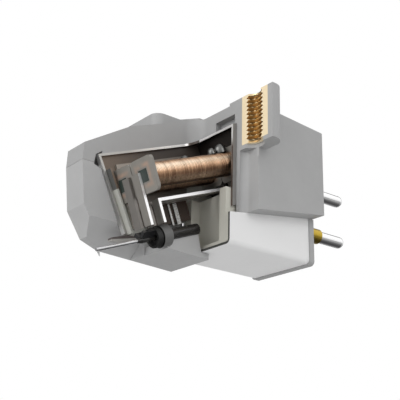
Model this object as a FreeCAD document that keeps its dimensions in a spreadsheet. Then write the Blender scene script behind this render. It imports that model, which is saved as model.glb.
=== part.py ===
import FreeCAD, Part
import os
import Sketcher

# Sectioned turntable cartridge. X runs sideways to the cut side, Y to the terminals, Z up.
# The origin is the mouth of the far mounting hole; sideways sizes are from the middle. Millimetres.
os.makedirs("parts", exist_ok=True)
doc = FreeCAD.newDocument("cartridge")
Vector = FreeCAD.Vector

DIMS = {
    # mounting holes and brass inserts
    "hole_half": 6.35,
    "insert_out": 2.0,
    "insert_in": 1.025,
    "insert_low": -5.45,
    "relief_rad": 1.35,
    # mounting platform
    "plat_front": -4.33,
    "plat_rear": 2.3,
    "ear_low": -5.9,
    "ear_front": 9.45,
    "ear_rear": 9.0,
    "ear_side": 0.2,
    "ear_round": 1.4,
    "pad_front": 4.1,
    "pad_back": 2.43,
    "pad_bend": -1.1,
    "pad_turn": 0.3,
    "mid_top": -0.3,
    # nose
    "nose_half": 6.2,
    "nose_front": -13.47,
    "nose_foot": -13.54,
    "nose_high": -6.62,
    "brow_y": -8.2,
    "brow_z": -3.35,
    "neck_z": -1.86,
    "nose_rear": -3.1,
    "nose_rise": -1.4,
    "crown_y": -3.64,
    "crown_z": -1.6,
    "crest_y": -1.0,
    "split_z": -8.42,
    # middle and rear block
    "mid_half": 4.1,
    "mid_front": -0.1,
    "block_half": 6.1,
    "block_front": 1.25,
    "block_rear": 10.5,
    "block_top": -1.1,
    "block_tail": -1.72,
    "under_front": -12.5,
    "under_rear": -11.1,
    "under_lip": -12.7,
    "scoop_round": 0.7,
    # the section: a lengthwise and a crosswise plane with a rounded corner
    "cut_x": -3.0,
    "cut_y": 0.5,
    "cut_round": 1.6,
    "can_cut": 0.0,
    "can_round": 1.3,
    "far_off": 30.0,
    # tilted generator: its frame sits at the damper, with its own Y along the pipe
    "tilt": 21.2,
    "mod_y": -5.8,
    "mod_z": -15.5,
    # shield can, in the tilted frame
    "can_half": 3.6,
    "can_sheet": 0.25,
    "can_top": 9.69,
    "can_low": 1.36,
    "can_front": -2.71,
    "can_toe": -2.05,
    "can_rear": 11.0,
    "foot_wide": 0.7,
    "cave_toe": -1.62,
    "cave_low": -4.0,
    "liner_split": 5.8,
    "lip_near": -2.3,
    "lip_low": 1.25,
    "lip_top": 7.95,
    # rear chamber
    "room_front": 3.0,
    "room_rear": 9.0,
    "room_top": -4.2,
    "slot_left": 0.2,
    "slot_right": 3.3,
    "slot_rear": 1.25,
    "slot_top": -1.5,
    # lower shell and its rear plate
    "shell_half": 4.4,
    "shell_sheet": 0.25,
    "shell_front": -1.0,
    "shell_rear": 9.85,
    "shell_low": -16.05,
    "shell_over": -10.5,
    "shell_round": 0.5,
    "plate_half": 4.52,
    "plate_low": -16.2,
    "plate_top": -11.2,
    # receiver block in the shell
    "seat_play": 0.05,
    "seat_gap": 0.2,
    "seat_round": 0.7,
    "seat_step": -12.7,
    "seat_cheek": 2.3,
    "seat_front": -0.6,
    "seat_web": 0.5,
    "seat_rear": 1.25,
    "seat_top": -9.8,
    # coils, in the tilted frame
    "coil_gap": 0.05,
    "coil_z": 5.93,
    "coil_front": -1.25,
    "coil_end": 9.7,
    "wire_out": 1.24,
    "tube_out": 0.95,
    "core_half": 0.62,
    "flange_low": 1.73,
    "flange_thick": 0.4,
    "flange_round": 0.45,
    "core_front": -1.7,
    "core_rear": 10.1,
    # poles
    "pole_in": 0.3,
    "pole_out": 1.35,
    "pole_sheet": 0.3,
    "pole_low": 1.24,
    "pole_top": 6.35,
    "return_y": -0.4,
    "return_z": 3.65,
    # base block, tabs, side shield
    "base_near": -2.0,
    "base_front": 0.9,
    "base_rear": 5.85,
    "base_low": 1.4,
    "base_high": 3.45,
    "shield_front": -0.85,
    "shield_rear": 6.15,
    "shield_tail": 8.75,
    "shield_low": 1.7,
    "shield_high": 8.4,
    # terminals
    "pin_x": 2.4,
    "pin_rad": 0.64,
    "shank_rad": 0.45,
    "pin_high": -7.15,
    "pin_low": -12.0,
    "pin_tip": 17.0,
    "collar_out": 0.82,
    "collar_end": 13.2,
    "board_play": 0.1,
    "board_front": 7.6,
    "board_rear": 8.4,
    "board_low": -13.2,
    "board_high": -5.0,
    # stylus assembly, in the tilted frame
    "axis_z": 0.12,
    "ring_out": 1.12,
    "ring_in": 0.75,
    "ring_half": 0.54,
    "pipe_rad": 0.57,
    "pipe_bore": 0.2,
    "pipe_end": 4.5,
    "crimp_y": 3.4,
    "wire_rad": 0.06,
    # stylus grip
    "grip_top": -8.45,
    "grip_rear": -0.1,
    "grip_low": -16.7,
    "foot_near": 0.1,
    # moving system, in the tilted frame
    "disc_rad": 1.02,
    "disc_front": -1.24,
    "disc_back": -0.62,
    "hub_front": -3.1,
    "hub_rad": 0.3,
    "hub_nose": 0.22,
    "hub_play": 0.03,
    "beam_rad": 0.17,
    "beam_tip": -7.86,
    "tip_drop": 0.5,
    "mag_front": -2.7,
    "mag_back": -1.3,
    "mag_wide": 0.36,
    "mag_reach": 1.0,
}

sheet = doc.addObject("Spreadsheet::Sheet", "P")
for row, (alias, value) in enumerate(DIMS.items(), start=1):
    sheet.set(f"A{row}", alias)
    sheet.set(f"B{row}", str(value))
    sheet.setAlias(f"B{row}", alias)
doc.recompute()


def terms(coordinate):
    """The signed names in a coordinate such as "-can_half + can_sheet"."""
    sign = 1
    found = []
    for word in coordinate.split():
        if word in ("+", "-"):
            sign = -1 if word == "-" else 1
        elif word.startswith("-"):
            found.append((-sign, word[1:]))
        else:
            found.append((sign, word))
    return found


def number(coordinate):
    """The value of a coordinate: a number, or names in the sheet added up."""
    if not isinstance(coordinate, str):
        return float(coordinate)
    return sum(sign * DIMS[name] for sign, name in terms(coordinate))


def formula(coordinate):
    """The same coordinate as an expression on the sheet."""
    if not isinstance(coordinate, str):
        return repr(float(coordinate))
    return " ".join(f"{'-' if sign < 0 else '+'} P.{name}" for sign, name in terms(coordinate))


def lean(item):
    """Put an object in the tilted frame."""
    item.Placement = FreeCAD.Placement(Vector(0, 0, 0), FreeCAD.Rotation(Vector(1, 0, 0), 20))
    item.setExpression("Placement.Rotation.Angle", "P.tilt")
    item.setExpression("Placement.Base.y", "P.mod_y")
    item.setExpression("Placement.Base.z", "P.mod_z")


def prism(label, plane, outline, start, end, tilted=False, rounds=()):
    """A solid swept from start to end along the normal of a plane; rounds are (corner, radius)."""
    body = doc.addObject("PartDesign::Body", label)
    sketch = body.newObject("Sketcher::SketchObject", label + "_outline")
    origin = [o for o in body.Origin.OriginFeatures if o.Role == plane][0]
    sketch.AttachmentSupport = [(origin, "")]
    sketch.MapMode = "FlatFace"
    count = len(outline)
    spots = [Vector(number(a), number(b), 0) for a, b in outline]
    for i in range(count):
        sketch.addGeometry(Part.LineSegment(spots[i], spots[(i + 1) % count]))
    for i in range(count):
        sketch.addConstraint(Sketcher.Constraint("Coincident", i, 2, (i + 1) % count, 1))
    for i, (across, up) in enumerate(outline):
        index = sketch.addConstraint(Sketcher.Constraint("DistanceX", -1, 1, i, 1, spots[i].x))
        sketch.setExpression(f"Constraints[{index}]", formula(across))
        index = sketch.addConstraint(Sketcher.Constraint("DistanceY", -1, 1, i, 1, spots[i].y))
        sketch.setExpression(f"Constraints[{index}]", formula(up))
    offset = f"-({end})" if plane == "XZ_Plane" else start
    sketch.setExpression("AttachmentOffset.Base.z", offset)
    pad = body.newObject("PartDesign::Pad", label + "_pad")
    pad.Profile = sketch
    pad.setExpression("Length", f"({end}) - ({start})")
    sketch.Visibility = False
    last = pad
    if rounds:
        doc.recompute()
    for number_of, (corner, radius) in enumerate(rounds):
        spot = spots[corner]
        names = []
        for index, edge in enumerate(last.Shape.Edges, start=1):
            ends = [v.Point for v in edge.Vertexes]
            if len(ends) != 2:
                continue
            flat = [sketch.Placement.inverse().multVec(p) for p in ends]
            if all(abs(p.x - spot.x) < 1e-4 and abs(p.y - spot.y) < 1e-4 for p in flat):
                names.append(f"Edge{index}")
        fillet = body.newObject("PartDesign::Fillet", f"{label}_round_{number_of}")
        fillet.Base = (last, names)
        fillet.setExpression("Radius", formula(radius))
        doc.recompute()
        last = fillet
    body.setExpression("Placement.Base.x", "P.hole_half")
    if tilted:
        lean(body)
    return body


def block(label, size, corner, tilted=False):
    """A rectangular solid from size and corner expressions; a tilted one is in the tilted frame."""
    item = doc.addObject("Part::Box", label)
    for prop, text in zip(("Length", "Width", "Height"), size):
        item.setExpression(prop, text)
    place(item, corner, tilted)
    return item


def place(item, corner, tilted, turn="0"):
    x, y, z = corner
    item.Placement = FreeCAD.Placement(Vector(0, 0, 0), FreeCAD.Rotation(Vector(1, 0, 0), 30))
    if tilted:
        turn = f"P.tilt + ({turn})"
        c, s = "cos(P.tilt * 1 deg)", "sin(P.tilt * 1 deg)"
        y, z = f"P.mod_y + ({y}) * {c} - ({z}) * {s}", f"P.mod_z + ({y}) * {s} + ({z}) * {c}"
    item.setExpression("Placement.Rotation.Angle", turn)
    item.setExpression("Placement.Base.x", f"P.hole_half + ({x})")
    item.setExpression("Placement.Base.y", y)
    item.setExpression("Placement.Base.z", z)


def rod(label, radius, start, end, x, z, tilted=False, tip=None):
    """A round bar along Y (or along the tilted Y) from start to end; tip is a second end radius."""
    kind = "Part::Cylinder" if tip is None else "Part::Cone"
    item = doc.addObject(kind, label)
    if tip is None:
        item.setExpression("Radius", radius)
    else:
        item.setExpression("Radius1", radius)
        item.setExpression("Radius2", tip)
    item.setExpression("Height", f"({end}) - ({start})")
    place(item, (x, start, z), tilted, "-90")
    return item


def post(label, radius, low, high, x, y):
    """A round bar along Z."""
    item = doc.addObject("Part::Cylinder", label)
    item.setExpression("Radius", radius)
    item.setExpression("Height", f"({high}) - ({low})")
    place(item, (x, y, low), False)
    return item


def cut(label, base, *tools):
    """The base less each tool in turn."""
    for index, tool in enumerate(tools, start=1):
        item = doc.addObject("Part::Cut", label if index == len(tools) else f"{label}_step_{index}")
        item.Base = base
        item.Tool = tool
        base = item
    return base


def join(label, *shapes):
    item = doc.addObject("Part::MultiFuse", label)
    item.Shapes = list(shapes)
    item.Refine = True
    return item


def soften(label, base, radius, chosen):
    """Round the edges of the base that the test picks."""
    doc.recompute()
    item = doc.addObject("Part::Fillet", label)
    item.Base = base
    reach = number(radius)
    item.Edges = [(i, reach, reach) for i, e in enumerate(base.Shape.Edges, start=1) if chosen(e)]
    return item


def near(value, name):
    return abs(value - number(name)) < 1e-3


NODES = []


def keep(item, label):
    item.Label = label
    NODES.append(item)
    return item


# The section tools
section = prism("section", "XY_Plane",
                [("cut_x", "-far_off"), ("far_off", "-far_off"), ("far_off", "cut_y"), ("cut_x", "cut_y")],
                "-P.far_off", "P.far_off", rounds=[(3, "cut_round")])
can_section = prism("can_section", "XY_Plane",
                    [("cut_x", "-far_off"), ("far_off", "-far_off"), ("far_off", "can_cut"),
                     ("cut_x", "can_cut")],
                    "-P.far_off", "P.far_off", rounds=[(3, "can_round")])

# Housing
nose = prism("nose", "YZ_Plane",
             [("nose_front", "nose_high"), ("brow_y", "brow_z"), ("plat_front", "neck_z"),
              ("nose_rear", "nose_rise"), ("nose_rear", "split_z"), ("nose_foot", "split_z")],
             "-P.nose_half", "P.nose_half")
middle = prism("middle", "YZ_Plane",
               [("plat_front", "neck_z"), ("crown_y", "crown_z"), ("crest_y", "mid_top"),
                ("plat_rear", "mid_top"), ("plat_rear", "split_z"), ("block_front", "split_z"),
                ("block_front", "under_front"), ("mid_front", "under_lip"),
                ("mid_front", "split_z"), ("plat_front", "split_z")],
               "-P.mid_half", "P.mid_half")
rear = prism("rear_block", "YZ_Plane",
             [("block_front", "block_top"), ("block_rear", "block_tail"), ("block_rear", "under_rear"),
              ("block_front", "under_front")],
             "-P.block_half", "P.block_half")
ears = []
for side, sign in (("far", "-"), ("near", "")):
    plan = [(sign + "ear_front", "plat_front"), (sign + "pad_front", "plat_front"),
            (sign + "pad_front", "pad_bend"), (sign + "pad_back", "pad_turn"),
            (sign + "pad_back", "plat_rear"), (sign + "ear_rear", "plat_rear"),
            (sign + "ear_rear", "ear_side")]
    ears.append(prism(f"ear_{side}", "XY_Plane", plan, "P.ear_low", "0",
                      rounds=[(1, 1.1), (5, "ear_round")]))
blank = join("housing_blank", nose, middle, rear, *ears)
scooped = soften("housing_scoop", blank, "scoop_round",
                 lambda e: len(e.Vertexes) == 2 and all(abs(abs(v.X - DIMS["hole_half"]) - DIMS["mid_half"]) < 1e-3
                 and near(v.Y, "block_front") for v in e.Vertexes) and e.Length > 1)
cave = prism("can_space", "YZ_Plane",
             [("can_front", "can_top"), ("cave_toe", "cave_low"), ("can_rear", "cave_low"),
              ("can_rear", "can_top")],
             "-P.can_half", "P.can_half", tilted=True)
room = block("rear_room", ("2 * P.can_half", "P.room_rear - P.room_front", "P.room_top + 14"),
             ("-P.can_half", "P.room_front", "-14"))
slot = block("top_slot", ("P.slot_right - P.slot_left", "P.slot_rear", "P.slot_top + 2.8"),
             ("P.slot_left", "0", "-2.8"))
notch = prism("front_notch", "YZ_Plane",
              [(-12.1, -7.55), (-11.4, -7.0), (-11.2, -8.9), (-12.26, -8.6)],
              "-P.can_half", "P.can_half")
bores = []
for side, x in (("far", "-P.hole_half"), ("near", "P.hole_half")):
    bores.append(post(f"bore_{side}", "P.insert_out", "P.insert_low", "1", x, "0"))
    bores.append(post(f"relief_{side}", "P.relief_rad", "P.ear_low - 1", "1", x, "0"))
for side, x in (("far", "-P.pin_x"), ("near", "P.pin_x")):
    bores.append(rod(f"pin_bore_{side}", "P.shank_rad", "8", "12", x, "P.pin_high"))
keep(cut("housing", scooped, cave, room, slot, notch, *bores, section), "housing")

# Brass inserts
for side, x in (("far", "-P.hole_half"), ("near", "P.hole_half")):
    outer = post(f"sleeve_{side}", "P.insert_out", "P.insert_low", "0", x, "0")
    inner = post(f"thread_{side}", "P.insert_in", "P.insert_low - 1", "1", x, "0")
    tools = (inner,) if side == "far" else (inner, section)
    keep(cut(f"insert_{side}", outer, *tools), f"insert_{side}")

# Lower shell, its rear plate and the receiver block
tub = prism("tub", "XZ_Plane",
            [("-shell_half", "shell_over"), ("-shell_half", "shell_low"), ("shell_half", "shell_low"),
             ("shell_half", "shell_over")],
            "P.shell_front", "P.shell_rear", rounds=[(1, "shell_round"), (2, "shell_round")])
hollow = block("tub_hollow", ("2 * (P.shell_half - P.shell_sheet)", "20", "10"),
               ("-P.shell_half + P.shell_sheet", "P.shell_front - 1", "P.shell_low + P.shell_sheet"))
brim = prism("tub_brim", "YZ_Plane",
             [(-2.0, -12.992), ("block_rear", "under_rear"), ("block_rear", -8.0), (-2.0, -8.0)],
             "-P.far_off", "P.far_off")
keep(cut("lower_shell", tub, hollow, brim), "lower_shell")
plate = prism("plate", "XZ_Plane",
              [("-plate_half", "plate_top"), ("-plate_half", "plate_low"), ("plate_half", "plate_low"),
               ("plate_half", "plate_top")],
              "P.shell_rear", "P.block_rear", rounds=[(1, "shell_round"), (2, "shell_round")])
holes = [rod(f"plate_bore_{side}", "P.shank_rad", "9", "12", x, "P.pin_low")
         for side, x in (("far", "-P.pin_x"), ("near", "P.pin_x"))]
keep(cut("rear_plate", plate, *holes), "rear_plate")
seat_high = block("seat_high", ("2 * (P.can_half - P.can_sheet - P.seat_play)",
                                "P.seat_rear - P.seat_front", "P.seat_top - P.seat_step + 0.5"),
                  ("P.can_sheet + P.seat_play - P.can_half", "P.seat_front", "P.seat_step - 0.5"))
seat_low = prism("seat_low", "XZ_Plane",
                 [("-shell_half + shell_sheet + seat_gap", "seat_step"),
                  ("-shell_half + shell_sheet + seat_gap", "shell_low + shell_sheet + seat_gap"),
                  ("shell_half - shell_sheet - seat_gap", "shell_low + shell_sheet + seat_gap"),
                  ("shell_half - shell_sheet - seat_gap", "seat_step")],
                 "P.seat_front", "P.seat_rear", rounds=[(1, "seat_round"), (2, "seat_round")])
recess = block("seat_recess", ("2 * P.seat_cheek", "P.seat_web - P.seat_front + 1", "10"),
               ("-P.seat_cheek", "P.seat_front - 1", "P.shell_low + P.shell_sheet + P.seat_gap + 0.3"))
keep(cut("receiver_block", join("seat", seat_high, seat_low), recess), "receiver_block")

# Shield can with its far liners, foot and side shield
shell = prism("can_outer", "YZ_Plane",
              [("can_front", "can_top"), ("can_toe", "can_low"), ("can_rear", "can_low"),
               ("can_rear", "can_top")],
              "-P.can_half", "P.can_half", tilted=True)
inside = prism("can_inner", "YZ_Plane",
               [(-2.44, 9.44), (-1.71, 0.0), (10.75, 0.0), (10.75, 9.44)],
               "-P.can_half - 1", "P.can_half - P.can_sheet", tilted=True)
keep(cut("shield_can", shell, inside, can_section), "shield_can")
# The far liners lie on the can wall and turn inwards just behind its slanted front
walls = (("high", [(-2.44, 9.44), (-2.158, "liner_split"), (10.75, "liner_split"), (10.75, 9.44)],
          [(-2.109, "liner_split"), (-1.889, "liner_split"), (-2.055, "lip_top"), (-2.275, "lip_top")]),
         ("low", [(-2.158, "liner_split"), (-1.80, 1.2), (0.75, 0.2), (2.6, "can_low"),
                  (10.75, "can_low"), (10.75, "liner_split")],
          [(-1.757, "lip_low"), (-1.537, "lip_low"), (-1.889, "liner_split"), (-2.109, "liner_split")]))
for level, outline, lip_outline in walls:
    sheet_wall = prism(f"liner_wall_{level}", "YZ_Plane", outline, "-P.can_half",
                       "P.can_sheet - P.can_half", tilted=True)
    lip = prism(f"liner_lip_{level}", "YZ_Plane", lip_outline, "-P.can_half", "P.lip_near", tilted=True)
    keep(join(f"liner_{level}", sheet_wall, lip), f"liner_{level}")
foot = prism("can_foot", "YZ_Plane",
             [(-3.75, 1.28), (-1.80, 1.2), (-0.6, 0.7294), (-0.95, 0.3), (-3.85, 0.95)],
             "-P.can_half", "P.foot_wide - P.can_half", tilted=True)
keep(foot, "can_foot")
side_shield = prism("side_shield", "YZ_Plane",
                    [("shield_front", "shield_low"), ("shield_rear", "shield_low"),
                     ("shield_tail", "shield_high"), ("shield_front", "shield_high")],
                    "P.can_sheet - P.can_half", "2 * P.can_sheet - P.can_half", tilted=True)
keep(side_shield, "side_shield")

# Base block and its two tabs
keep(block("base_block", ("P.base_near - 2 * P.can_sheet + P.can_half", "P.base_rear - P.base_front",
                          "P.base_high - P.base_low"),
           ("2 * P.can_sheet - P.can_half", "P.base_front", "P.base_low"), tilted=True), "base_block")
keep(block("tab_front", ("0.15", "0.22", "2.2"), ("P.base_near", "3.2", "1.15"), tilted=True), "tab_front")
keep(block("tab_rear", ("0.15", "0.5", "2.2"), ("P.base_near", "3.85", "1.15"), tilted=True), "tab_rear")

# Coils with cores and poles
flange_half = "(P.can_half - P.can_sheet - P.coil_gap) / 2"
coil_mid = "(P.can_half - P.can_sheet + P.coil_gap) / 2"
for side, sign in (("near", ""), ("far", "-")):
    mid = f"{sign}{coil_mid}"
    flanges = []
    for end, start in (("front", "P.coil_front - P.flange_thick"), ("rear", "P.coil_end")):
        flange = block(f"flange_{end}_{side}", (f"2 * {flange_half}", "P.flange_thick", "2 * P.flange_low"),
                       (f"{mid} - {flange_half}", start, "P.coil_z - P.flange_low"), tilted=True)
        flanges.append(soften(f"flange_{end}_{side}_round", flange, "flange_round",
                              lambda e: abs(e.Length - DIMS["flange_thick"]) < 1e-6))
    tube = rod(f"tube_{side}", "P.tube_out", "P.coil_front - 0.1", "P.coil_end + 0.1", mid, "P.coil_z", True)
    square = block(f"square_{side}", ("2 * P.core_half", "14", "2 * P.core_half"),
                   (f"{mid} - P.core_half", "-2.5", "P.coil_z - P.core_half"), tilted=True)
    spool = join(f"spool_{side}", tube, *flanges)
    keep(cut(f"bobbin_{side}", spool, square), f"bobbin_{side}")
    wire = rod(f"wire_{side}", "P.wire_out", "P.coil_front", "P.coil_end", mid, "P.coil_z", True)
    bore = rod(f"wire_bore_{side}", "P.tube_out", "P.coil_front - 1", "P.coil_end + 1", mid, "P.coil_z", True)
    keep(cut(f"winding_{side}", wire, bore), f"winding_{side}")
    keep(block(f"core_{side}", ("2 * P.core_half", "P.core_rear - P.core_front", "2 * P.core_half"),
               (f"{mid} - P.core_half", "P.core_front", "P.coil_z - P.core_half"), tilted=True),
         f"core_{side}")
    left = "P.pole_in" if side == "near" else "-P.pole_out"
    keep(block(f"front_pole_{side}", ("P.pole_out - P.pole_in", "P.pole_sheet", "P.pole_top - P.pole_low"),
               (left, "P.core_front - P.pole_sheet", "P.pole_low"), tilted=True), f"front_pole_{side}")
    keep(prism(f"rear_pole_{side}", "YZ_Plane",
               [("return_y", "pole_low"), ("return_y + pole_sheet", "pole_low"),
                ("return_y + pole_sheet", "return_z - pole_sheet"),
                ("core_rear + pole_sheet", "return_z - pole_sheet"),
                ("core_rear + pole_sheet", "pole_top"), ("core_rear", "pole_top"),
                ("core_rear", "return_z"), ("return_y", "return_z")],
               left, f"{left} + P.pole_out - P.pole_in", tilted=True), f"rear_pole_{side}")

# Terminals
board = block("board", ("2 * (P.can_half - P.board_play)", "P.board_rear - P.board_front",
                        "P.board_high - P.board_low"),
              ("P.board_play - P.can_half", "P.board_front", "P.board_low"))
board_bores = []
pins = []
for level, z in (("upper", "P.pin_high"), ("lower", "P.pin_low")):
    for side, x in (("near", "P.pin_x"), ("far", "-P.pin_x")):
        board_bores.append(rod(f"board_bore_{level}_{side}", "P.shank_rad", "P.board_front - 1",
                               "P.board_rear + 1", x, z))
        shank = rod(f"shank_{level}_{side}", "P.shank_rad", "P.board_front", "P.collar_end + 1", x, z)
        free = rod(f"pin_end_{level}_{side}", "P.pin_rad", "P.collar_end", "P.pin_tip", x, z)
        pins.append((level, side, join(f"pin_whole_{level}_{side}", shank, free), x, z))
keep(cut("terminal_board", board, *board_bores), "terminal_board")
for level, side, shank, x, z in pins:
    pin = soften(f"pin_{level}_{side}", shank, 0.5,
                 lambda e: all(near(v.Y, "pin_tip") for v in e.Vertexes) and e.Closed)
    keep(pin, f"pin_{level}_{side}")
    sleeve = rod(f"collar_sleeve_{level}_{side}", "P.collar_out", "P.block_rear", "P.collar_end", x, z)
    bore = rod(f"collar_bore_{level}_{side}", "P.shank_rad", "P.block_rear - 1", "P.collar_end + 1", x, z)
    keep(cut(f"collar_{level}_{side}", sleeve, bore), f"collar_{level}_{side}")
beads = (("", 9.0, 0.62), ("", 7.75, 0.42), ("-", 6.9, 0.62))
for index, (sign, y, radius) in enumerate(beads, start=1):
    bead = doc.addObject("Part::Cone", f"solder_bead_{index}")
    bead.Radius1 = radius
    bead.Radius2 = radius / 2
    bead.Height = 1.6 * radius
    place(bead, (f"{sign}{coil_mid}", str(y), "P.coil_z + P.wire_out"), True)
    keep(bead, f"solder_bead_{index}")

# Stylus grip
wall = prism("grip_wall", "YZ_Plane",
             [("nose_foot", "grip_top"), (-13.05, -12.95), (-12.2, -14.24), (-11.4, -15.5),
              (-9.4, -16.25), ("grip_rear", "grip_low"), ("grip_rear", "grip_top")],
             "-P.nose_half", "P.cut_x")
gap = prism("grip_gap", "YZ_Plane",
            [(-12.26, -8.0), (-12.22, -8.62), (-11.42, -8.92), (-8.75, -14.9), (-10.1, -15.2),
             (-10.1, -18.0), (1.0, -18.0), (1.0, -8.0)],
            "-P.can_half - P.seat_play", "1")
arch = prism("grip_arch", "XZ_Plane",
             [(-2.0, -13.2), (-6.15, -16.45), (-6.15, -19.0), (-2.0, -19.0)], "-15", "-5.4")
tail = prism("grip_tail", "YZ_Plane",
             [("grip_rear", "grip_low"), ("grip_rear", -16.1), (-1.05, -16.1), (-1.5, -14.35),
              (-1.69, -13.78), (-5.24, -15.17), (-5.25, -16.47)],
             "-P.nose_half + 1", "P.foot_near")
rail = prism("grip_rail", "YZ_Plane",
             [(0.3, -0.35), (0.3, 3.0), (6.0, 3.0), (6.0, -0.35)],
             "-P.nose_half", "-1.2", tilted=True)
groove = rod("grip_groove", "P.pipe_rad", "0", "8", "0", "P.axis_z", True)
socket = rod("grip_socket", "P.ring_out", "-3", "P.ring_half", "0", "P.axis_z", True)
opened = cut("grip_opened", wall, gap, arch)
held = cut("grip_held", tail, rail, groove, socket)
shell_gap = block("grip_shell_gap", ("4.45 + 4.45", "2", "8"), ("-4.45", "-1.05", "-16.1"))
keep(cut("stylus_grip", join("grip_joined", opened, held), shell_gap), "stylus_grip")

# Pipe, damper ring and suspension wire
pipe = rod("pipe", "P.pipe_rad", "P.ring_half", "P.pipe_end", "0", "P.axis_z", True)
pipe_bore = rod("pipe_bore", "P.pipe_bore", "0", "P.crimp_y", "0", "P.axis_z", True)
crimp = rod("pipe_crimp", "P.wire_rad", "0", "6", "0", "P.axis_z", True)
keep(cut("joint_pipe", pipe, pipe_bore, crimp), "joint_pipe")
ring = rod("ring", "P.ring_out", "-P.ring_half", "P.ring_half", "0", "P.axis_z", True)
ring_bore = rod("ring_bore", "P.ring_in", "-1", "P.ring_half - 0.3", "0", "P.axis_z", True)
ring_hole = rod("ring_hole", "P.wire_rad", "-1", "1", "0", "P.axis_z", True)
keep(cut("damper_ring", ring, ring_bore, ring_hole), "damper_ring")
keep(rod("suspension_wire", "P.wire_rad", "-0.45", "4.3", "0", "P.axis_z", True), "suspension_wire")

# Moving system: rubber damper, hub, magnets, cantilever and tip
disc = rod("disc", "P.disc_rad", "P.disc_front", "P.disc_back", "0", "P.axis_z", True)
dish = rod("disc_dish", "0.8", "P.disc_front - 0.01", "P.disc_front + 0.3", "0", "P.axis_z", True, tip="0.55")
stem = rod("disc_stem", "0.55", "P.disc_back - 0.1", "0.05", "0", "P.axis_z", True)
seat_hole = rod("disc_hole", "P.hub_rad + P.hub_play", "-3", "P.disc_front + 0.48", "0", "P.axis_z", True)
wire_hole = rod("disc_wire_hole", "0.12", "-0.6", "1", "0", "P.axis_z", True)
keep(cut("rubber_damper", join("disc_whole", disc, stem), dish, seat_hole, wire_hole), "rubber_damper")
hub_rod = rod("hub_rod", "P.hub_rad", "P.hub_front + 0.5", "P.disc_front + 0.45", "0", "P.axis_z", True)
hub_tip = rod("hub_tip", "P.hub_nose", "P.hub_front", "P.hub_front + 0.5", "0", "P.axis_z", True,
              tip="P.hub_rad")
hub_hole = rod("hub_hole", "P.beam_rad", "-4", "-2.4", "0", "P.axis_z", True)
keep(cut("cantilever_hub", join("hub_whole", hub_rod, hub_tip), hub_hole), "cantilever_hub")
for side, turn in (("near", 45), ("far", -45)):
    bar = doc.addObject("Part::Box", f"magnet_bar_{side}")
    bar.setExpression("Length", "P.mag_wide")
    bar.setExpression("Width", "P.mag_back - P.mag_front")
    bar.setExpression("Height", "P.mag_reach")
    bar.Placement = FreeCAD.Placement(Vector(0, 0, 0), FreeCAD.Rotation(Vector(0, 1, 0), turn))
    bar.Placement.Base = FreeCAD.Rotation(Vector(0, 1, 0), turn).multVec(Vector(-0.18, 0, 0))
    group = doc.addObject("Part::Compound", f"magnet_seat_{side}")
    group.Links = [bar]
    place(group, ("0", "P.mag_front", "P.axis_z"), True)
    clear = rod(f"magnet_clear_{side}", "P.hub_rad", "-4", "0", "0", "P.axis_z", True)
    keep(cut(f"magnet_{side}", group, clear), f"magnet_{side}")
keep(rod("cantilever", "P.beam_rad", "P.beam_tip", "-2.4", "0", "P.axis_z", True), "cantilever")
tip = doc.addObject("Part::Cone", "stylus_tip")
tip.Radius1 = 0.03
tip.Radius2 = 0.13
tip.setExpression("Height", "P.tip_drop")
place(tip, ("0", "P.beam_tip + 0.18", "P.axis_z - P.beam_rad - P.tip_drop"), True)
keep(tip, "stylus_tip")

doc.recompute()
for item in doc.Objects:
    if "Invalid" in item.State or "Error" in item.State:
        raise RuntimeError(f"{item.Label}: {item.State}")
for item in NODES:
    shape = item.Shape
    if shape.isNull() or not shape.isValid() or len(shape.Solids) != 1:
        raise RuntimeError(f"{item.Label}: bad shape, {len(shape.Solids)} solids")
for item in NODES:
    item.Shape.exportStep(f"parts/{item.Label}.step")
    print(f"{item.Label}: {item.Shape.Volume:.4f} mm3")
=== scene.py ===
import math

import bmesh
import bpy
from mathutils import Matrix, Vector


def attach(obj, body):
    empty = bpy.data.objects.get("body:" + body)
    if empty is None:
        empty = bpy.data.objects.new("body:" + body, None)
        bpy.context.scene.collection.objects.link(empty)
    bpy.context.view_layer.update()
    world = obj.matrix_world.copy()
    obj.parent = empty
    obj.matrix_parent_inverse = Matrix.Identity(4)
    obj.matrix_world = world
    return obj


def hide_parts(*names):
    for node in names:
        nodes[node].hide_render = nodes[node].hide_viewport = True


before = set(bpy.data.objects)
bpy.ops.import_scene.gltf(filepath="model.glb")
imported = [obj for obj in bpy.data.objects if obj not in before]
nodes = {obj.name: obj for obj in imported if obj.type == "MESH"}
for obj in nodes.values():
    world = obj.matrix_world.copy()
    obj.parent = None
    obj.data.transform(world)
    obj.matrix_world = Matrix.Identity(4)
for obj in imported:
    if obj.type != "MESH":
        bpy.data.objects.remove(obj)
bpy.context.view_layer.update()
MM = 0.001

# The part's places and sizes are in millimetres here. The frame starts at the far mounting hole, MIDDLE
# lies half way to the near one, and the generator leans by TILT about HEEL, the damper's centre.
MIDDLE = 6.35
TILT = math.radians(21.2)
HEEL = Vector((MIDDLE, -5.8, -15.5))
HEEL_ALONG = HEEL.y * math.cos(TILT) + HEEL.z * math.sin(TILT)
HEEL_ACROSS = HEEL.z * math.cos(TILT) - HEEL.y * math.sin(TILT)

# Generator, seen from its own leaning axes: coils to both sides of the middle, above the pipe.
COIL_SIDE = 1.7
COIL_HEIGHT = 5.93
COIL_RADIUS = 1.24

# Ways a surface can face.
TO_SIDE = (1, 0, 0)
TO_FRONT = (0, -1, 0)
FORWARD = (0, -math.cos(TILT), -math.sin(TILT))


def tilted(x, y, z):
    """A point of the tilted generator in the frame, in metres."""
    c, s = math.cos(TILT), math.sin(TILT)
    return Vector((HEEL.x + x, HEEL.y + y * c - z * s, HEEL.z + y * s + z * c)) * MM


# A mapping scale so large that the coordinate comes out as nothing.
FLAT = 1e6


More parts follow.
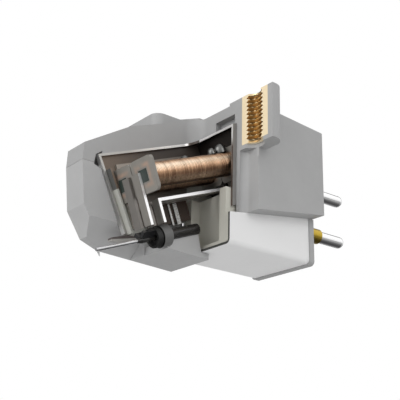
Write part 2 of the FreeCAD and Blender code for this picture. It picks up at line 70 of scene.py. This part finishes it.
class Nodes:
    """A principled material and the nodes that feed it, in the object's millimetres."""

    def __init__(self, name, base, rough, metal=0.0, leaning=True):
        self.leaning = leaning
        self.mat = bpy.data.materials.new(name)
        self.mat.use_nodes = True
        self.tree = self.mat.node_tree
        self.bsdf = self.tree.nodes["Principled BSDF"]
        self.bsdf.inputs["Base Color"].default_value = (*base, 1)
        self.bsdf.inputs["Roughness"].default_value = rough
        self.bsdf.inputs["Metallic"].default_value = metal
        self.coord = self.tree.nodes.new("ShaderNodeTexCoord")

    def put(self, socket, value):
        """A plain value on one of the shader's sockets."""
        self.bsdf.inputs[socket].default_value = value

    def wire(self, socket, output):
        """A linked value on one of the shader's sockets."""
        self.tree.links.new(output, self.bsdf.inputs[socket])

    def stretched(self, scale):
        """Millimetres along X, along the leaning pipe and across both, each times its scale."""
        node = self.tree.nodes.new("ShaderNodeMapping")
        node.vector_type = "TEXTURE"
        node.inputs["Rotation"].default_value = (TILT if self.leaning else 0, 0, 0)
        node.inputs["Scale"].default_value = [MM / part if part else FLAT for part in scale]
        self.tree.links.new(self.coord.outputs["Object"], node.inputs["Vector"])
        return node.outputs["Vector"]

    def noise(self, scale, detail=3.0, stretch=(1, 1, 1), rough=0.55):
        """Noise whose grains are about a millimetre over scale."""
        node = self.tree.nodes.new("ShaderNodeTexNoise")
        node.inputs["Scale"].default_value = scale
        node.inputs["Detail"].default_value = detail
        node.inputs["Roughness"].default_value = rough
        self.tree.links.new(self.stretched(stretch), node.inputs["Vector"])
        return node.outputs["Fac"]

    def spread(self, value, low, high, start=0.3, end=0.7):
        """The range start to end of a linked value, spread over low to high."""
        node = self.tree.nodes.new("ShaderNodeMapRange")
        node.inputs["From Min"].default_value = start
        node.inputs["From Max"].default_value = end
        node.inputs["To Min"].default_value = low
        node.inputs["To Max"].default_value = high
        self.tree.links.new(value, node.inputs["Value"])
        return node.outputs["Result"]

    def mixed(self, fac, one, two):
        """Two plain colours mixed by fac."""
        node = self.tree.nodes.new("ShaderNodeMix")
        node.data_type = "RGBA"
        node.inputs["A"].default_value = (*one, 1)
        node.inputs["B"].default_value = (*two, 1)
        self.tree.links.new(fac, node.inputs["Factor"])
        return node.outputs["Result"]

    def facing(self, direction, start, end):
        """0 to 1 as the cosine between the surface's normal and the direction goes from start to end."""
        geometry = self.tree.nodes.new("ShaderNodeNewGeometry")
        node = self.tree.nodes.new("ShaderNodeVectorMath")
        node.operation = "DOT_PRODUCT"
        node.inputs[1].default_value = Vector(direction).normalized()
        self.tree.links.new(geometry.outputs["Normal"], node.inputs[0])
        return self.spread(node.outputs["Value"], 0, 1, start, end)

    def math(self, operation, one, two=0.0):
        """One sum on a linked value and a second linked value or number."""
        node = self.tree.nodes.new("ShaderNodeMath")
        node.operation = operation
        self.tree.links.new(one, node.inputs[0])
        if isinstance(two, (int, float)):
            node.inputs[1].default_value = two
        else:
            self.tree.links.new(two, node.inputs[1])
        return node.outputs["Value"]

    def place(self, axis):
        """Millimetres from the frame's origin along X, along the pipe (Y) or across both (Z)."""
        node = self.tree.nodes.new("ShaderNodeSeparateXYZ")
        self.tree.links.new(self.stretched((1, 1, 1)), node.inputs["Vector"])
        return node.outputs[axis]

    def along(self, axis, start, end):
        """0 to 1 as the place on an axis goes from start to end."""
        return self.spread(self.place(axis), 0, 1, start, end)

    def laid(self, fac, under, top):
        """A linked colour laid over another by fac."""
        node = self.tree.nodes.new("ShaderNodeMix")
        node.data_type = "RGBA"
        self.tree.links.new(under, node.inputs["A"])
        self.tree.links.new(top, node.inputs["B"])
        self.tree.links.new(fac, node.inputs["Factor"])
        return node.outputs["Result"]

    def over(self, fac, under, top):
        """A plain colour laid over a linked one by fac."""
        paint = self.tree.nodes.new("ShaderNodeRGB")
        paint.outputs["Color"].default_value = (*top, 1)
        return self.laid(fac, under, paint.outputs["Color"])

    def bump(self, height, strength, distance):
        """Relief by a linked height; distance is in millimetres."""
        node = self.tree.nodes.new("ShaderNodeBump")
        node.inputs["Strength"].default_value = strength
        node.inputs["Distance"].default_value = distance * MM
        self.tree.links.new(height, node.inputs["Height"])
        self.wire("Normal", node.outputs["Normal"])


def tone(base, part):
    """A colour with each channel times part."""
    return tuple(min(1, channel * part) for channel in base)


def moulded(name, base, rough=0.55, grain=0.35, shift=0.06):
    """Moulded plastic: fine matt grain over a faint cloudiness of plus and minus shift."""
    m = Nodes(name, base, rough)
    m.colour = m.mixed(m.noise(0.35, 2.0), tone(base, 1 - shift), tone(base, 1 + shift))
    m.wire("Base Color", m.colour)
    m.wire("Roughness", m.spread(m.noise(2.0, 4.0), rough - 0.06, rough + 0.08))
    m.bump(m.noise(9.0, 5.0), grain, 0.01)
    return m


def worked(name, base, rough=0.3, stretch=(1, 1, 1), lines=0.25, shift=0.08):
    """Worked metal: fine lines along the way it was drawn, rolled or turned."""
    m = Nodes(name, base, rough, 1.0)
    streak = m.noise(6.0, 4.0, stretch)
    m.wire("Base Color", m.mixed(m.noise(0.8, 3.0), tone(base, 1 - shift), tone(base, 1 + shift)))
    m.wire("Roughness", m.spread(streak, rough - 0.08, rough + 0.1))
    m.bump(streak, lines, 0.006)
    return m


def sheet_metal(name, base, rough=0.36):
    """Dull rolled sheet."""
    m = worked(name, base, rough, (4, 0.4, 4), 0.2)
    m.put("Metallic", 0.7)
    m.colour = m.mixed(m.noise(0.8, 3.0), tone(base, 0.9), base)
    m.wire("Base Color", m.colour)
    return m


def at_side(m):
    """1 on the faces that look straight to the near side, where the section plane cuts."""
    return m.facing(TO_SIDE, 0.9, 0.97)


def both(m, one, two):
    """Where both masks hold."""
    return m.math("MULTIPLY", one, two)


grip = moulded("grip_plastic", (0.385, 0.385, 0.385))
ivory = moulded("ivory_resin", (0.55, 0.54, 0.48), 0.5, 0.25)

# Painted shade: the floor of the gap in front of the can's upper corner is painted near black, standing
# in for a deeper gap.
GAP_FLOOR = 2.75
housing = moulded("housing_plastic", (0.345, 0.345, 0.345))
floor_of_gap = both(housing, housing.along("X", GAP_FLOOR + 0.10, GAP_FLOOR + 0.05),
                    housing.along("X", GAP_FLOOR - 0.10, GAP_FLOOR - 0.05))
front_of_gap = both(housing, at_side(housing),
                    housing.along("Y", HEEL_ALONG - 1.4, HEEL_ALONG - 1.5))
housing.wire("Base Color", housing.over(both(housing, floor_of_gap, front_of_gap), housing.colour,
                                        (0.004, 0.004, 0.004)))

# The shell's front rim is dark.
shell = moulded("shell_plastic", (0.745, 0.745, 0.745), 0.45, shift=0.02)
shell.wire("Base Color", shell.over(shell.facing(TO_FRONT, 0.9, 0.97), shell.colour,
                                    (0.05, 0.05, 0.045)))

# Painted shade: the low liner's cut edge and its front are painted darker.
liner = moulded("liner_resin", (0.775, 0.775, 0.715), 0.5, 0.25, 0.032)
liner_ends = liner.math("MAXIMUM", at_side(liner), liner.facing(FORWARD, 0.9, 0.97))
liner.wire("Base Color", liner.over(liner_ends, liner.colour, (0.47, 0.47, 0.43)))

# The high liner goes from light to dark brown rearward, and its front is grey.
dark = moulded("dark_resin", (0.13, 0.13, 0.12), 0.4, 0.2)
brownish = dark.mixed(dark.along("Y", HEEL_ALONG - 2.5, HEEL_ALONG + 4.0),
                      (0.17, 0.125, 0.09), (0.05, 0.04, 0.034))
dark.wire("Base Color", dark.over(dark.facing(FORWARD, 0.8, 0.95), brownish, (0.10, 0.10, 0.095)))

brown = moulded("brown_resin", (0.05, 0.033, 0.025), 0.4, 0.15, 0.2)
rubber = moulded("damper_rubber", (0.006, 0.006, 0.0055), 0.6, 0.15)
magnet = moulded("magnet_ferrite", (0.012, 0.012, 0.013), 0.3, 0.15)
black = moulded("blackened_tube", (0.016, 0.015, 0.014), 0.22, 0.08)
core = moulded("core_end", (0.03, 0.042, 0.036), 0.4, 0.15)
brass_cut = moulded("brass_cut_face", (0.82, 0.68, 0.45), 0.45, 0.15, 0.03)
brass_crest = worked("brass_crest", (0.80, 0.62, 0.36), 0.3, (1, 1, 6), 0.04, 0.03)
# The thread's flanks are a darker copy of the brass: painted shade in the thread.
brass_shaded_flank = worked("brass_thread_painted_shade", (0.38, 0.25, 0.12), 0.32, (1, 1, 6), 0.04, 0.03)
beam = worked("cantilever_tube", (0.60, 0.60, 0.61), 0.2, (8, 0.4, 8))
plated = worked("pin_plating", (0.88, 0.88, 0.88), 0.12, (3, 3, 3), 0.05)
gold = worked("collar_plating", (0.50, 0.35, 0.05), 0.28, (2, 2, 2), 0.12)
solder = worked("solder_metal", (0.14, 0.14, 0.135), 0.3, (1, 1, 1), 0.35)

# The damper ring is black in front.
ring = moulded("ring_plastic", (0.1125, 0.1125, 0.11), 0.4, 0.12, 0.11)
ring.wire("Base Color", ring.over(ring.facing(FORWARD, 0.4, 0.8), ring.colour, (0.007, 0.007, 0.006)))

# The can is brown inside, with painted shade that darkens it to the rear. Its near wall is grey and its
# front is light with a painted highlight. The edge of the crosswise cut is bright, but brown down the
# near wall, and the lengthwise edge brightens rearward with a painted glint.
can = sheet_metal("can_sheet", (0.36, 0.27, 0.20))
# Painted shade: the inside darkens to near black towards the rear.
skin = can.over(can.along("Y", HEEL_ALONG + 3.0, HEEL_ALONG + 10.0), can.colour, (0.035, 0.03, 0.027))
silver = can.math("MAXIMUM", can.along("X", 9.75, 9.65), can.along("Z", -5.0, -4.0))
cross_edge = can.mixed(silver, (0.12, 0.085, 0.07), (0.93, 0.92, 0.90))
skin = can.laid(can.facing(TO_FRONT, 0.97, 0.99), skin, cross_edge)
skin = can.over(both(can, at_side(can), can.along("X", 8.0, 9.0)), skin, (0.30, 0.29, 0.28))
# Painted highlight: the forward faces at the front are painted near white.
front = both(can, can.facing(FORWARD, 0.7, 0.85), can.along("Y", HEEL_ALONG + 5.0, HEEL_ALONG + 4.0))
skin = can.over(front, skin, (0.92, 0.91, 0.89))
# Painted glint: the lengthwise cut edge goes from grey to near white rearward.
long_edge = can.mixed(can.along("Y", HEEL_ALONG + 1.0, HEEL_ALONG + 6.5),
                      (0.42, 0.41, 0.39), (0.95, 0.94, 0.92))
long_edge = can.over(can.along("Y", HEEL_ALONG + 10.55, HEEL_ALONG + 10.75), long_edge,
                     (0.16, 0.13, 0.11))
can.wire("Base Color", can.laid(both(can, at_side(can), can.along("X", 6.0, 5.0)), skin, long_edge))

shield = sheet_metal("side_shield_sheet", (0.30, 0.27, 0.24))
shield.wire("Base Color", shield.over(shield.facing(FORWARD, 0.8, 0.95), shield.colour,
                                      (0.62, 0.61, 0.56)))

# The can's foot is dark above a line that drops a little rearward and grey below it.
DROP = 0.125
foot = sheet_metal("foot_sheet", (0.10, 0.085, 0.08), 0.45)
foot.put("Metallic", 0.2)
rise = foot.math("ADD", foot.place("Z"), foot.math("MULTIPLY", foot.place("Y"), DROP))
line = HEEL_ACROSS + DROP * HEEL_ALONG + 0.6
foot.wire("Base Color", foot.over(foot.spread(rise, 1, 0, line, line + 0.04), foot.colour,
                                  (0.36, 0.35, 0.33)))

# Tabs and near poles have bright sheared edges.
tab = sheet_metal("tab_sheet", (0.16, 0.16, 0.155), 0.3)
tab.wire("Base Color", tab.over(at_side(tab), tab.colour, (0.95, 0.95, 0.95)))
tab.bump(tab.noise(1.0, 2.0), 0.05, 0.003)
pole = sheet_metal("pole_sheet", (0.36, 0.34, 0.31))
pole.wire("Base Color", pole.over(at_side(pole), pole.colour, (0.97, 0.97, 0.97)))
far_pole = sheet_metal("far_pole_sheet", (0.30, 0.28, 0.26))

# Enamelled wire of uneven turns, with painted light and shade in bands: a painted highlight high up,
# painted shade underneath, painted shade at the middle and a painted highlight low down. Each band gives
# the way it faces, how far, how strong on dull and on bright turns, and its colour.
copper = worked("copper_wire", (0.60, 0.36, 0.22), 0.3, (0.4, 9, 0.4), 0.2)
copper.put("Metallic", 0.95)
uneven = copper.noise(1.2, 5.0, (0.15, 9, 0.15), 0.75)
turns = copper.mixed(copper.spread(uneven, 0, 1, 0.3, 0.65), (0.13, 0.06, 0.03), (0.66, 0.41, 0.25))
for direction, start, end, on_dull, on_bright, full_at, shade in (
        ((0.90, -0.1, 0.38), 0.88, 1.0, 0.35, 1, 0.55, (1.0, 0.84, 0.66)),
        ((0.25, -0.1, -1), 0.55, 1.15, 1, 1, 0.55, (0.06, 0.03, 0.018)),
        ((0.95, 0.0, -0.28), 0.95, 0.99, 0.95, 0.45, 0.6, (0.14, 0.07, 0.04)),
        ((0.66, 0.1, -0.75), 0.93, 0.99, 0.5, 1, 0.6, (1.0, 0.72, 0.52))):
    painted_band = both(copper, copper.facing(direction, start, end),
                      copper.spread(uneven, on_dull, on_bright, 0.35, full_at))
    turns = copper.over(painted_band, turns, shade)
# The wire's base colour now carries the painted highlights and painted shade.
copper.wire("Base Color", turns)

# The clear bobbins show the wire behind them as a cloudy square band round the core.
clear = Nodes("bobbin_clear", (0.30, 0.26, 0.23), 0.28)
clear.put("Transmission Weight", 0.25)
clear.put("IOR", 1.45)
clear.bump(clear.noise(3.0, 3.0), 0.08, 0.01)
off_middle = clear.math("ABSOLUTE", clear.math("SUBTRACT", clear.place("X"), MIDDLE))
aside = clear.math("SUBTRACT", off_middle, COIL_SIDE)
above = clear.math("SUBTRACT", clear.place("Z"), HEEL_ACROSS + COIL_HEIGHT)
apart = clear.math("MAXIMUM", clear.math("ABSOLUTE", aside), clear.math("ABSOLUTE", above))
plain = clear.mixed(clear.noise(0.6), (0.23, 0.22, 0.20), (0.31, 0.29, 0.26))
band = both(clear, clear.spread(apart, 0, 1, 0.72, 0.86), clear.spread(apart, 1, 0, 1.0, 1.3))
cloudy = both(clear, band, clear.spread(clear.noise(0.9, 2.0), 0.1, 0.9))
clear.wire("Base Color", clear.over(cloudy, plain, (0.50, 0.33, 0.24)))

diamond = Nodes("tip_stone", (0.80, 0.80, 0.80), 0.08)
diamond.put("Transmission Weight", 0.6)
diamond.put("IOR", 2.0)
diamond.bump(diamond.noise(20.0), 0.05, 0.002)

FINISH = {
    "housing": housing, "lower_shell": shell, "rear_plate": housing, "stylus_grip": grip,
    "shield_can": can, "side_shield": shield, "can_foot": foot, "tab_front": tab, "tab_rear": tab,
    "liner_high": dark, "liner_low": liner, "receiver_block": ivory,
    "base_block": brown, "terminal_board": brown,
    "joint_pipe": black, "suspension_wire": beam, "cantilever": beam, "cantilever_hub": black,
    "damper_ring": ring, "rubber_damper": rubber, "magnet_near": magnet, "magnet_far": magnet,
    "stylus_tip": diamond, "insert_near": brass_shaded_flank, "insert_far": brass_shaded_flank,
}
for side in ("near", "far"):
    FINISH[f"bobbin_{side}"] = clear
    FINISH[f"winding_{side}"] = copper
    FINISH[f"core_{side}"] = core
    FINISH[f"front_pole_{side}"] = pole if side == "near" else far_pole
    FINISH[f"rear_pole_{side}"] = pole if side == "near" else far_pole
    for level in ("upper", "lower"):
        FINISH[f"pin_{level}_{side}"] = plated
        FINISH[f"collar_{level}_{side}"] = gold
for index in (1, 2, 3):
    FINISH[f"solder_bead_{index}"] = solder

for name, item in nodes.items():
    item.data.materials.clear()
    item.data.materials.append(FINISH[name].mat)


def piece(name, bm, material, replaced):
    """A new smooth piece from a bmesh, on the cartridge in place of a CAD node."""
    mesh = bpy.data.meshes.new(name)
    bmesh.ops.recalc_face_normals(bm, faces=bm.faces)
    bm.to_mesh(mesh)
    bm.free()
    for face in mesh.polygons:
        face.use_smooth = True
    mesh.set_sharp_from_angle(angle=math.radians(35))
    mesh.materials.append(material.mat)
    item = bpy.data.objects.new(name, mesh)
    bpy.context.scene.collection.objects.link(item)
    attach(item, "cartridge")
    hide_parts(replaced)
    return item


def bridge(bm, one, two):
    """Close the band between two rings of as many points."""
    count = len(one)
    for k in range(count):
        n = (k + 1) % count
        bm.faces.new((one[k], one[n], two[n], two[k]))


def tube_wall(bm, rows, around, spot):
    """A closed-round grid of rows by around quads, with its first and last ring as the result.

    spot(s, angle) gives each point, with s from 0 to 1 over the rows.
    """
    rings = []
    for row in range(rows + 1):
        rings.append([bm.verts.new(spot(row / rows, 2 * math.pi * k / around))
                      for k in range(around)])
    for one, two in zip(rings, rings[1:]):
        bridge(bm, one, two)
    return rings[0], rings[-1]


def threaded_insert(side, x, keep_behind=None):
    """A brass sleeve with its inner thread; keep_behind cuts away what lies in front of that Y.

    Its cut and plain faces, the thread's crests and the thread's flanks have a material each; the
    flanks' is a darker copy of the brass, painted shade.
    """
    bm = bmesh.new()
    depth, outer, minor, major, pitch = 5.45, 2.0, 1.035, 1.36, 0.45
    chamfer, runout, around = 0.06, 1 / 12, 72

    def thread(s, angle):
        z = -depth * s
        phase = (z / pitch + angle / (2 * math.pi)) % 1.0
        tooth = abs(2 * phase - 1)
        fade = min(1.0, s / runout, (1 - s) / runout)
        r = minor + (major - minor) * (1 - tooth) * fade
        return Vector((x + r * math.cos(angle), r * math.sin(angle), z)) * MM

    def wall(s, angle):
        z = -depth * s
        r = outer - (chamfer if s in (0.0, 1.0) else 0.0)
        return Vector((x + r * math.cos(angle), r * math.sin(angle), z)) * MM

    inner_top, inner_low = tube_wall(bm, 150, around, thread)
    outer_top, outer_low = tube_wall(bm, 60, around, wall)
    bridge(bm, inner_top, outer_top)
    bridge(bm, inner_low, outer_low)
    if keep_behind is not None:
        geom = bm.verts[:] + bm.edges[:] + bm.faces[:]
        cut = bmesh.ops.bisect_plane(bm, geom=geom, dist=1e-9, plane_co=(0, keep_behind * MM, 0),
                                     plane_no=(0, -1, 0), clear_outer=True)
        edges = [e for e in cut["geom_cut"] if isinstance(e, bmesh.types.BMEdge)]
        bmesh.ops.triangle_fill(bm, edges=edges, use_beauty=True)
    mesh = piece(f"threaded_insert_{side}", bm, brass_cut, f"insert_{side}").data
    mesh.materials.append(brass_crest.mat)
    mesh.materials.append(brass_shaded_flank.mat)
    crest, flank = minor + 0.07, major + 0.02
    for face in mesh.polygons:
        spot = face.center / MM
        reach = math.hypot(spot.x - x, spot.y)
        if reach < flank and abs(face.normal.y) < 0.999:
            face.material_index = 1 if reach < crest else 2


threaded_insert("far", 0.0)
threaded_insert("near", 2 * MIDDLE, keep_behind=0.5)


def coil(side, x):
    """Enamelled wire wound turn beside turn, as one helical skin."""
    bm = bmesh.new()
    front, end, bore_radius = -1.25, 9.7, 0.95
    turns, around, rows_per_turn = 64, 64, 7
    groove, crown = 0.055, 0.037

    def skin(s, angle):
        y = front + (end - front) * s
        phase = (s * turns + angle / (2 * math.pi)) % 1.0
        wave = math.sqrt(max(0.0, 1 - (2 * phase - 1) ** 2))
        sway = 0.012 * math.sin(7.1 * s * math.pi) + 0.006 * math.sin(31 * s)
        r = COIL_RADIUS - groove + crown * wave + sway
        return tilted(x + r * math.cos(angle), y, COIL_HEIGHT + r * math.sin(angle))

    def bore(s, angle):
        y = front + (end - front) * s
        return tilted(x + bore_radius * math.cos(angle), y, COIL_HEIGHT + bore_radius * math.sin(angle))

    skin_front, skin_end = tube_wall(bm, turns * rows_per_turn, around, skin)
    bore_front, bore_end = tube_wall(bm, 2, around, bore)
    bridge(bm, skin_front, bore_front)
    bridge(bm, skin_end, bore_end)
    piece(f"wound_coil_{side}", bm, copper, f"winding_{side}")


coil("near", COIL_SIDE)
coil("far", -COIL_SIDE)


def solder_dome(index, x, y, radius):
    """Solder that has flowed out at its foot and drawn up to a round head."""
    bm = bmesh.new()
    foot_z, high = COIL_HEIGHT + COIL_RADIUS, 1.6 * radius

    def skin(s, angle):
        round_part = math.sqrt(max(0.0, 1 - s ** 2.4))
        r = radius * round_part * (1 + 0.05 * math.sin(3 * angle + index))
        return tilted(x + r * math.cos(angle), y + r * math.sin(angle), foot_z + high * s)

    foot_ring, _ = tube_wall(bm, 24, 32, skin)
    bm.faces.new(foot_ring)
    bmesh.ops.remove_doubles(bm, verts=bm.verts, dist=1e-8)
    piece(f"solder_dome_{index}", bm, solder, f"solder_bead_{index}")


solder_dome(1, COIL_SIDE, 9.0, 0.62)
solder_dome(2, COIL_SIDE, 7.75, 0.42)
solder_dome(3, -COIL_SIDE, 6.9, 0.62)


# A pale floor, in metres. What is polished sees it darker near the part than further out.
FLOOR_REACH, FLOOR_Z = 1.5, -0.075
floor_mesh = bpy.data.meshes.new("floor")
floor_mesh.from_pydata([(x * FLOOR_REACH, y * FLOOR_REACH, FLOOR_Z)
                        for x, y in ((-1, -1), (1, -1), (1, 1), (-1, 1))], [], [(0, 1, 2, 3)])
floor = bpy.data.objects.new("floor", floor_mesh)
bpy.context.scene.collection.objects.link(floor)
pale = Nodes("floor_paint", (0.86, 0.86, 0.86), 0.9, leaning=False)
glossy = pale.tree.nodes.new("ShaderNodeLightPath").outputs["Is Glossy Ray"]
distance = pale.tree.nodes.new("ShaderNodeVectorMath")
distance.operation = "LENGTH"
pale.tree.links.new(pale.stretched((1, 1, 0)), distance.inputs[0])
pale.wire("Base Color", pale.over(
    both(pale, glossy, pale.spread(distance.outputs["Value"], 0.99, 0.4, 70, 230)),
    pale.mixed(pale.noise(0.01), (0.85, 0.85, 0.85), (0.88, 0.88, 0.88)), (0.02, 0.02, 0.02)))
floor_mesh.materials.append(pale.mat)

# Soft square lamps, in metres and watts, aimed at the middle of the part.
LAMP_AIM = Vector((0.006, -0.002, -0.009))
for name, place, size, power in (("key", (0.30, -0.03, 0.08), 0.18, 0.20),
                                 ("front", (0.0, -0.28, 0.08), 0.22, 0.38),
                                 ("below", (0.12, -0.10, -0.26), 0.25, 0.40),
                                 ("top", (-0.05, 0.05, 0.30), 0.25, 0.05)):
    data = bpy.data.lights.new(name, "AREA")
    data.shape = "SQUARE"
    data.size = size
    data.energy = power
    item = bpy.data.objects.new(name, data)
    item.location = place
    item.rotation_mode = "QUATERNION"
    item.rotation_quaternion = (LAMP_AIM - Vector(place)).to_track_quat("-Z", "Y")
    bpy.context.scene.collection.objects.link(item)

# The world is white to the camera and an even grey to matt surfaces. Polished ones see a studio that
# brightens from the floor up and darkens on the far side.
WORLD_LEVEL = 0.67
STUDIO_BANDS = ((0.0, 0.05), (0.3, 0.30), (0.46, 0.45), (0.495, 0.95), (0.7, 1.15), (1.0, 1.2))
world = bpy.data.worlds.new("studio")
world.use_nodes = True
tree = world.node_tree
back = tree.nodes["Background"]
back.inputs["Color"].default_value = (1, 1, 1, 1)
rays = tree.nodes.new("ShaderNodeLightPath")
direction = tree.nodes.new("ShaderNodeTexCoord")
split = tree.nodes.new("ShaderNodeSeparateXYZ")
tree.links.new(direction.outputs["Generated"], split.inputs["Vector"])
height = tree.nodes.new("ShaderNodeMapRange")
height.inputs["From Min"].default_value = -1
tree.links.new(split.outputs["Z"], height.inputs["Value"])
studio = tree.nodes.new("ShaderNodeValToRGB")
tree.links.new(height.outputs["Result"], studio.inputs["Fac"])
while len(studio.color_ramp.elements) < len(STUDIO_BANDS):
    studio.color_ramp.elements.new(0.5)
for element, (place, grey) in zip(studio.color_ramp.elements, STUDIO_BANDS):
    element.position = place
    element.color = (grey, grey, grey, 1)
far_side = tree.nodes.new("ShaderNodeMapRange")
far_side.inputs["From Min"].default_value = -0.3
far_side.inputs["From Max"].default_value = 0.0
far_side.inputs["To Min"].default_value = 0.12
tree.links.new(split.outputs["X"], far_side.inputs["Value"])
shaded = tree.nodes.new("ShaderNodeMath")
shaded.operation = "MULTIPLY"
tree.links.new(studio.outputs["Color"], shaded.inputs[0])
tree.links.new(far_side.outputs["Result"], shaded.inputs[1])
seen = tree.nodes.new("ShaderNodeMix")
tree.links.new(rays.outputs["Is Glossy Ray"], seen.inputs["Factor"])
seen.inputs["A"].default_value = WORLD_LEVEL
tree.links.new(shaded.outputs["Value"], seen.inputs["B"])
strength = tree.nodes.new("ShaderNodeMix")
tree.links.new(rays.outputs["Is Camera Ray"], strength.inputs["Factor"])
tree.links.new(seen.outputs["Result"], strength.inputs["A"])
strength.inputs["B"].default_value = 1.0
tree.links.new(strength.outputs["Result"], back.inputs["Strength"])
bpy.context.scene.world = world

# The photograph's viewpoint: the camera's right, up and backward directions, and its place.
CAMERA_RIGHT = Vector((0.62269793, 0.7821769, 0.02113262))
CAMERA_UP = Vector((0.25319735, -0.22698037, 0.94041002))
CAMERA_BACK = Vector((0.74036368, -0.58024065, -0.33938533))
CAMERA_PLACE = Vector((64.54 + MIDDLE, -51.87, -40.15)) * MM
eye = bpy.data.cameras.new("camera")
eye.lens = 76.8
eye.sensor_width = 36.0
eye.clip_start = 0.005
eye.clip_end = 10
camera = bpy.data.objects.new("camera", eye)
turn = Matrix((CAMERA_RIGHT, CAMERA_UP, CAMERA_BACK)).transposed().to_4x4()
camera.matrix_world = Matrix.Translation(CAMERA_PLACE) @ turn
bpy.context.scene.collection.objects.link(camera)
bpy.context.scene.camera = camera
bpy.context.scene.view_settings.view_transform = "Standard"
